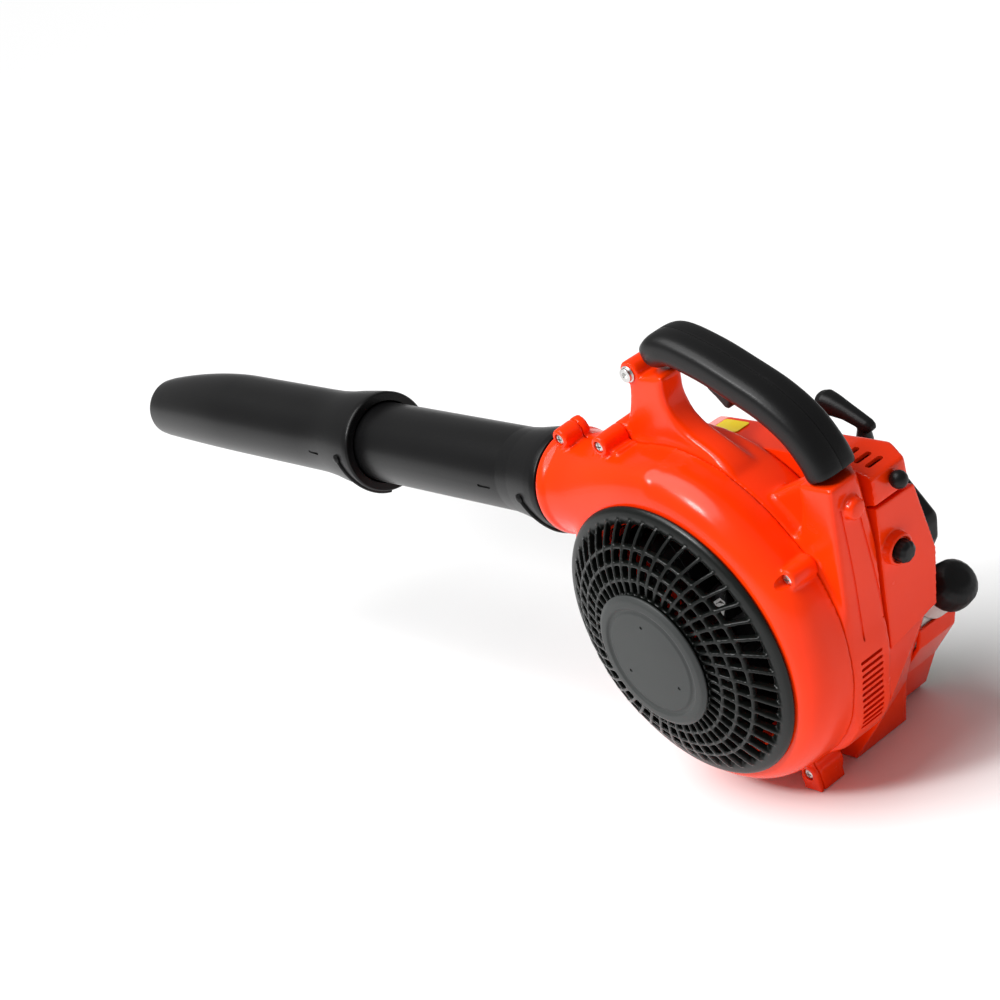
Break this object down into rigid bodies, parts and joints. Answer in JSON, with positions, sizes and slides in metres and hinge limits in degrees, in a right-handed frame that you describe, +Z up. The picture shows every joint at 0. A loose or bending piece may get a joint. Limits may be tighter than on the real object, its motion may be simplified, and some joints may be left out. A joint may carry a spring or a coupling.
{
  "type": "handheld petrol leaf blower",
  "caption": "Handheld petrol blower: side-intake volute fan, crank engine with recoil starter, top handle with throttle trigger, straight pipe and tapered nozzle.",
  "frame": {"origin": "middle of the flat underside, straight below the crankshaft axis", "axes": "+X is the blowing direction, +Y the intake side (the operator's left), +Z up"},
  "size_m": [0.8402, 0.2083, 0.3426],
  "materials": {
    "red_plastic": "gloss",
    "black_plastic": "satin",
    "grille_plastic": "satin",
    "grey_plastic": "matte",
    "yellow_label": "satin",
    "tank_plastic": "satin",
    "cast_alloy": "satin",
    "steel": "satin",
    "black_rubber": "matte",
    "filter_foam": "matte"
  },
  "bodies": {
    "body": {"fan_case_front": "red_plastic", "fan_case_rear": "red_plastic", "engine_housing": "red_plastic", "engine_cover": "red_plastic", "tank_guard": "red_plastic", "ignition_coil": "black_plastic", "intake_insulator": "black_plastic", "filter_box": "black_plastic", "muffler_guard": "black_plastic", "starter_housing": "black_plastic", "handle_grip_left": "black_plastic", "handle_grip_right": "black_plastic", "intake_grille": "grille_plastic", "grille_hub_plate": "grey_plastic", "label_plate": "yellow_label", "fuel_tank": "tank_plastic", "crankcase": "cast_alloy", "carburettor": "cast_alloy", "cylinder": "cast_alloy", "case_screw_top": "steel", "case_screw_outlet": "steel", "case_screw_rear": "steel", "case_screw_foot": "steel", "crank_bearing_left": "steel", "crank_bearing_right": "steel", "spark_plug": "steel", "muffler": "steel", "recoil_spring": "steel", "trigger_pin": "steel", "trigger_spring": "steel", "handle_screw": "steel", "plug_lead": "black_rubber", "starter_rope": "black_rubber", "fuel_line": "black_rubber", "throttle_cable": "black_rubber", "filter_element": "filter_foam"},
    "rotor": {"impeller": "black_plastic", "flywheel": "cast_alloy", "crankshaft_left": "steel", "crankshaft_right": "steel", "impeller_nut": "steel", "starter_cup": "steel"},
    "piston_set": {"piston": "cast_alloy", "piston_pin": "steel", "connecting_rod": "steel", "crank_pin": "steel"},
    "trigger": {"throttle_trigger": "black_plastic"},
    "throttle": {"throttle_lever": "steel"},
    "choke": {"choke_knob": "black_plastic"},
    "filter_lid": {"filter_cover": "red_plastic"},
    "knob": {"filter_knob": "black_plastic"},
    "cap": {"fuel_cap": "black_plastic"},
    "pull": {"starter_grip": "black_plastic"},
    "reel": {"starter_reel": "black_plastic"},
    "pipe": {"straight_pipe": "black_plastic"},
    "nozzle": {"nozzle_tube": "black_plastic"},
    "switch": {"stop_switch": "red_plastic"}
  },
  "joints": [
    {"name": "rotor_spin", "type": "hinge", "parent": "body", "child": "rotor", "pos_m": [0, 0, 0.132], "axis": [0, 1, 0], "continuous": true},
    {"name": "piston_stroke", "type": "slide", "parent": "body", "child": "piston_set", "axis": [0, 0, 1], "range_m": [-0.028, 0]},
    {"name": "trigger_squeeze", "type": "hinge", "parent": "body", "child": "trigger", "pos_m": [-0.0468, 0.045, 0.3125], "axis": [0, 1, 0], "range_deg": [0, 14], "stiffness_Nm_per_rad": 0.15, "springref_deg": -14.32},
    {"name": "throttle_turn", "type": "hinge", "parent": "body", "child": "throttle", "pos_m": [-0.053, 0.0055, 0.186], "axis": [0, 1, 0], "range_deg": [0, 75]},
    {"name": "choke_pull", "type": "slide", "parent": "body", "child": "choke", "axis": [-1, 0, 0], "range_m": [0, 0.012]},
    {"name": "filter_lid_off", "type": "slide", "parent": "body", "child": "filter_lid", "axis": [-0.9776, 0, -0.2107], "range_m": [0, 0.05]},
    {"name": "filter_knob_turn", "type": "hinge", "parent": "filter_lid", "child": "knob", "pos_m": [-0.13246, 0.012, 0.178], "axis": [-0.9776, 0, -0.2107], "continuous": true},
    {"name": "fuel_cap_turn", "type": "hinge", "parent": "body", "child": "cap", "pos_m": [-0.0995, -0.049, 0.104], "axis": [-0.8211, 0, 0.5708], "continuous": true},
    {"name": "starter_pull", "type": "slide", "parent": "body", "child": "pull", "axis": [-0.2479, 0, 0.9688], "range_m": [0, 0.5], "stiffness_N_per_m": 12, "springref_m": -0.4, "deforming": ["starter_rope"]},
    {"name": "reel_turn", "type": "hinge", "parent": "body", "child": "reel", "pos_m": [0, -0.058, 0.132], "axis": [0, 1, 0], "range_deg": [0, 890]},
    {"name": "pipe_lock", "type": "hinge", "parent": "body", "child": "pipe", "pos_m": [0.113, 0.063, 0.22], "axis": [1, 0, 0], "range_deg": [0, 25]},
    {"name": "nozzle_lock", "type": "hinge", "parent": "pipe", "child": "nozzle", "pos_m": [0.347, 0.063, 0.22], "axis": [1, 0, 0], "range_deg": [0, 25]},
    {"name": "stop_switch_rock", "type": "hinge", "parent": "body", "child": "switch", "pos_m": [-0.038, 0.0295, 0.323], "axis": [0, 0, 1], "range_deg": [0, 8], "stiffness_Nm_per_rad": 0.02, "springref_deg": -11.46}
  ],
  "couplings": [
    {"joint": "throttle_turn", "follows": "trigger_squeeze", "ratio": 5.3571},
    {"joint": "reel_turn", "follows": "starter_pull", "rad_per_m": 30.769}
  ]
}
